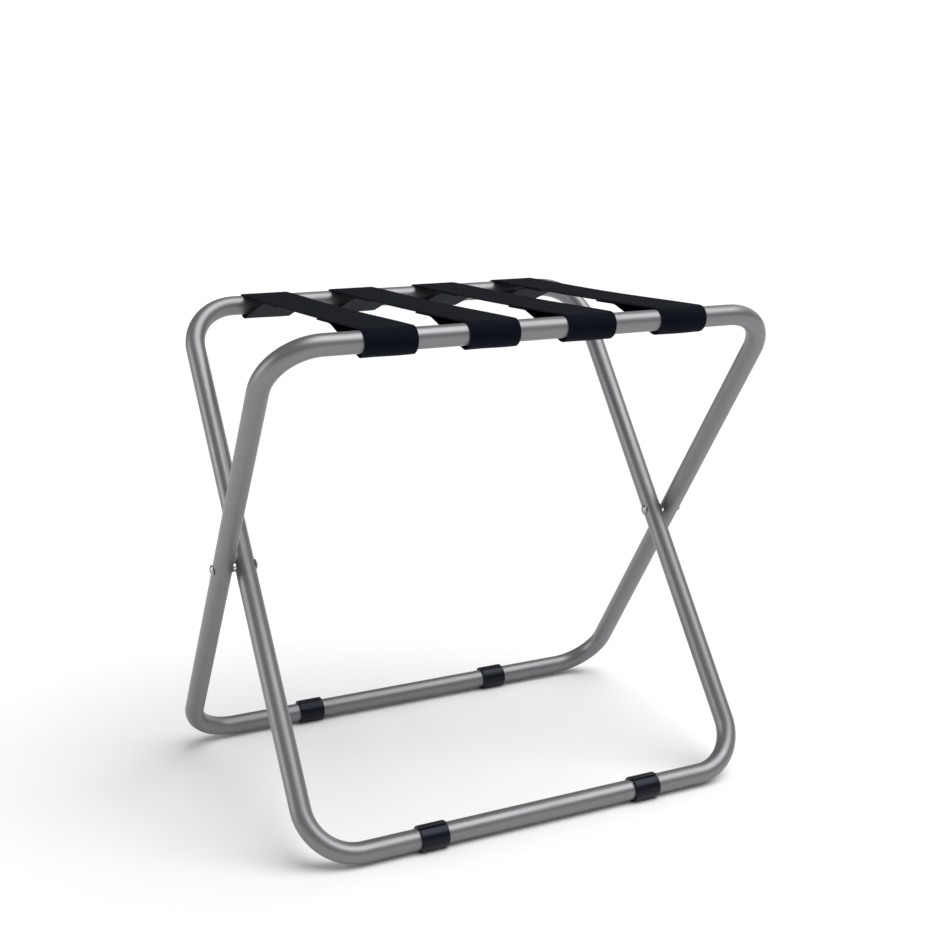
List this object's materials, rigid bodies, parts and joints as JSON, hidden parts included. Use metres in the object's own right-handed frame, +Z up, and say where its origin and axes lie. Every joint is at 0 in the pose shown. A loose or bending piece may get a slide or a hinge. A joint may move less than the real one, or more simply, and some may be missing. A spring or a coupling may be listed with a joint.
{
  "type": "folding luggage rack",
  "caption": "Folding luggage rack: two crossed, rounded tube frames on side rivets, webbing straps between the top bars and clip-over foot sleeves.",
  "frame": {"origin": "on the floor, under the middle of the pivot axis, with the rack open", "axes": "+X along the long bars to the right, +Y to the rear, +Z up; the front, where the outer frame's top bar and the inner frame's bottom bar are, faces -Y"},
  "size_m": [0.5386, 0.3688, 0.4938],
  "materials": {
    "frame_paint": "satin",
    "rivet_steel": "satin",
    "washer_steel": "polished",
    "sleeve_plastic": "matte",
    "strap_webbing": "matte"
  },
  "bodies": {
    "outer_frame": {"outer_frame_top_bow": "frame_paint", "outer_frame_bottom_bow": "frame_paint", "outer_frame_left_leg": "frame_paint", "outer_frame_right_leg": "frame_paint", "left_pivot_rivet": "rivet_steel", "right_pivot_rivet": "rivet_steel", "left_spacer_washer": "washer_steel", "right_spacer_washer": "washer_steel", "rear_left_foot_sleeve": "sleeve_plastic", "rear_right_foot_sleeve": "sleeve_plastic"},
    "inner_frame": {"inner_frame_top_bow": "frame_paint", "inner_frame_bottom_bow": "frame_paint", "inner_frame_left_leg": "frame_paint", "inner_frame_right_leg": "frame_paint", "front_left_foot_sleeve": "sleeve_plastic", "front_right_foot_sleeve": "sleeve_plastic"},
    "strap_fronts": {"strap_1_front": "strap_webbing", "strap_2_front": "strap_webbing", "strap_3_front": "strap_webbing", "strap_4_front": "strap_webbing"},
    "strap_folds": {"strap_1_fold": "strap_webbing", "strap_2_fold": "strap_webbing", "strap_3_fold": "strap_webbing", "strap_4_fold": "strap_webbing"},
    "strap_rears": {"strap_1_rear": "strap_webbing", "strap_2_rear": "strap_webbing", "strap_3_rear": "strap_webbing", "strap_4_rear": "strap_webbing"}
  },
  "joints": [
    {"name": "fold", "type": "hinge", "parent": "outer_frame", "child": "inner_frame", "pos_m": [0, 0, 0.24702], "axis": [1, 0, 0], "range_deg": [0, 67], "deforming": ["strap_1_front", "strap_1_fold", "strap_1_rear", "strap_2_front", "strap_2_fold", "strap_2_rear", "strap_3_front", "strap_3_fold", "strap_3_rear", "strap_4_front", "strap_4_fold", "strap_4_rear"]},
    {"name": "strap_front_hang", "type": "hinge", "parent": "outer_frame", "child": "strap_fronts", "pos_m": [0, -0.17187, 0.48185], "axis": [1, 0, 0], "range_deg": [-57, 0]},
    {"name": "strap_rear_hang", "type": "hinge", "parent": "inner_frame", "child": "strap_rears", "pos_m": [0, 0.17187, 0.48185], "axis": [1, 0, 0], "range_deg": [0, 57]},
    {"name": "strap_middle_fold", "type": "hinge", "parent": "strap_fronts", "child": "strap_folds", "pos_m": [0, 0, 0.49556], "axis": [1, 0, 0], "range_deg": [0, 180]}
  ],
  "couplings": [
    {"joint": "strap_front_hang", "follows": "fold", "ratio": -0.84328},
    {"joint": "strap_rear_hang", "follows": "fold", "ratio": 0.84328},
    {"joint": "strap_middle_fold", "follows": "fold", "ratio": 2.6776}
  ]
}
